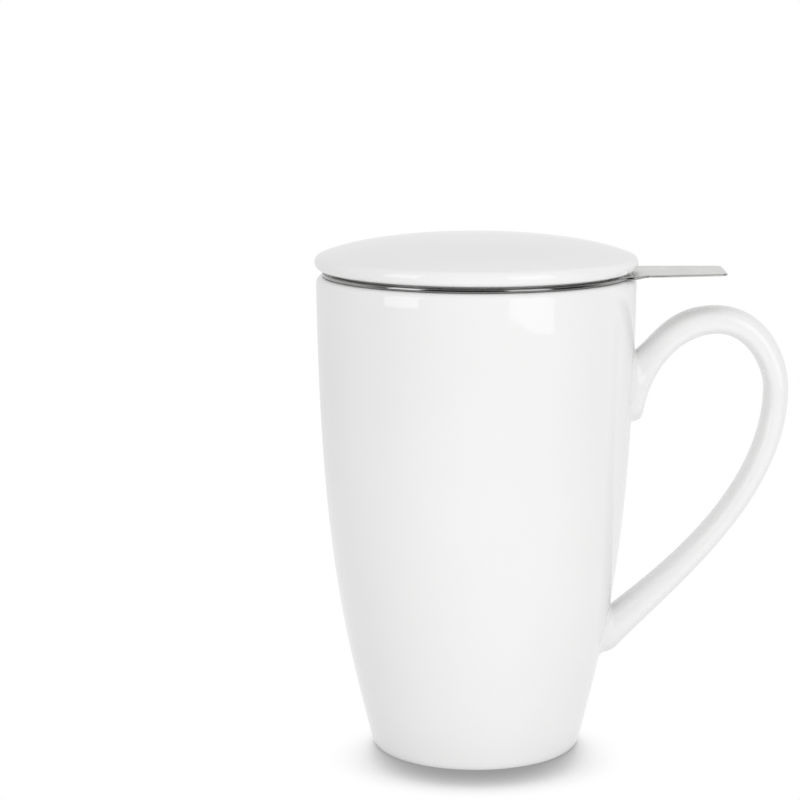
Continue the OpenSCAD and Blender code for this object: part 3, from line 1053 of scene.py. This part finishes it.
def stage_piece(name, verts, faces, material):
    """A mesh of the studio, which isn't part of the object."""
    mesh = bpy.data.meshes.new(name)
    mesh.from_pydata(verts, [], faces)
    mesh.materials.append(material)
    piece = bpy.data.objects.new(name, mesh)
    scene.collection.objects.link(piece)
    return piece


def only_reflected(piece):
    """Keeps a stage piece out of sight and out of the light, so that only reflections show it."""
    piece.visible_camera = False
    piece.visible_diffuse = False
    piece.visible_shadow = False


def studio_floor(half_side):
    """A square floor in the plane that the mug stands on."""
    corners = [(-half_side, -half_side, 0), (half_side, -half_side, 0),
               (half_side, half_side, 0), (-half_side, half_side, 0)]
    stage_piece("floor", corners, [(0, 1, 2, 3)], floor_material(albedo=0.85, reach=0.028, lean=60))


def at_azimuth(azimuth, distance, z):
    """A place round the mug's axis, where azimuth 0 is at the camera and 90 is at the right."""
    a = math.radians(azimuth)
    return distance * math.sin(a), -distance * math.cos(a), z


def softbox(name, azimuth, distance, low_z, width, height, radiance):
    """An upright area light that faces the axis. Reflections don't show it: its panel does that."""
    light = bpy.data.lights.new(name, "AREA")
    light.shape = "RECTANGLE"
    light.size = width
    light.size_y = height
    light.energy = radiance * math.pi * width * height
    lamp = bpy.data.objects.new(name, light)
    lamp.location = at_azimuth(azimuth, distance, low_z + height / 2)
    lamp.rotation_euler = (math.radians(90), 0, math.radians(azimuth))
    lamp.visible_glossy = False
    scene.collection.objects.link(lamp)


def glow(name, tone_layer=None, tone=1.0):
    """An emission material of one tone, or of the tones in a colour layer of the mesh.

    No light is sampled from it, because its mesh lights nothing and only reflections meet it."""
    material = bpy.data.materials.new(name)
    material.use_nodes = True
    material.cycles.emission_sampling = "NONE"
    tree = material.node_tree
    tree.nodes.remove(tree.nodes["Principled BSDF"])
    light = add(tree, "ShaderNodeEmission", {"Color": (1, 1, 1, 1), "Strength": tone})
    if tone_layer:
        layer = add(tree, "ShaderNodeAttribute", attribute_name=tone_layer)
        tree.links.new(layer.outputs["Color"], light.inputs["Color"])
    tree.links.new(light.outputs["Emission"], tree.nodes["Material Output"].inputs["Surface"])
    return material


def panel(name, start, end, distance, low_start, low_end, high, tone):
    """A softbox's bright face as the glaze and the steel mirror it, between two azimuths.

    Its lower edge runs from low_start to low_end, because the softbox stands a little askew."""
    corners = [at_azimuth(azimuth, distance, z)
               for azimuth, z in ((start, low_start), (end, low_end), (end, high), (start, high))]
    only_reflected(stage_piece(name, corners, [(0, 1, 2, 3)], glow(name, tone=tone)))


def tone_at(azimuth, tones):
    """The tone at an azimuth, turning smoothly from each (azimuth, tone) stop to the next."""
    after = next(i for i, stop in enumerate(tones) if stop[0] > azimuth)
    start, low_tone = tones[after - 1]
    end, high_tone = tones[after]
    return low_tone + (high_tone - low_tone) * smoothstep((azimuth - start) / (end - start))


def surround(profile, tones):
    """The rest of the studio, seen only in reflections, as one curved drape with soft changes of tone.

    The profile gives (radius, height, depth); the tone goes from white at depth 0 to the tone of its
    azimuth at depth 1. The tones are (azimuth, tone) stops from -180 to 180."""
    azimuths = range(-180, 180, 3)
    verts = []
    shades = []
    for r, z, depth in profile:
        for azimuth in azimuths:
            shade = 1 + (tone_at(azimuth, tones) - 1) * depth
            verts.append(at_azimuth(azimuth, r, z))
            shades.append((shade, shade, shade, 1))
    piece = stage_piece("surround", verts, ring_faces(len(profile), len(azimuths)),
                        glow("surround", tone_layer="tone"))
    layer = piece.data.color_attributes.new("tone", "FLOAT_COLOR", "POINT")
    for point, shade in zip(layer.data, shades):
        point.color = shade
    only_reflected(piece)


# The drape lies on the floor round the mug, rises as a wall and closes over it as a ceiling
drape_profile = [(0.12, 0.002, 0), (0.22, 0.0022, 0.25), (0.32, 0.0024, 0.6), (0.42, 0.0026, 0.85),
                 (0.55, 0.0028, 1), (1.2, 0.004, 1), (1.2, 0.9, 1), (1.2, 1.3, 0.85), (1.2, 1.8, 0.6),
                 (1.2, 2.6, 0.4), (0.8, 3.2, 0.3), (0.01, 3.4, 0.3)]
# It is dark on the camera's side, and pale at the back
drape_tones = [(-180, 0.90), (-150, 0.84), (-100, 0.74), (-60, 0.05), (78, 0.05), (122, 0.90),
               (180, 0.90)]

studio_world(level=0.765)
studio_floor(half_side=20)
softbox("key_right", azimuth=26, distance=0.6, low_z=0.036, width=0.33, height=0.33, radiance=2.75)
softbox("fill_left", azimuth=-42, distance=0.6, low_z=0.06, width=0.27, height=0.30, radiance=1.15)
panel("panel_right", start=21.9, end=54.2, distance=0.6, low_start=0.037, low_end=0.0255,
      high=0.586, tone=1.4)
panel("panel_left", start=-66, end=-40, distance=0.6, low_start=0.053, low_end=0.051,
      high=0.61, tone=1.9)
surround(drape_profile, drape_tones)

scene.view_settings.view_transform = "Standard"
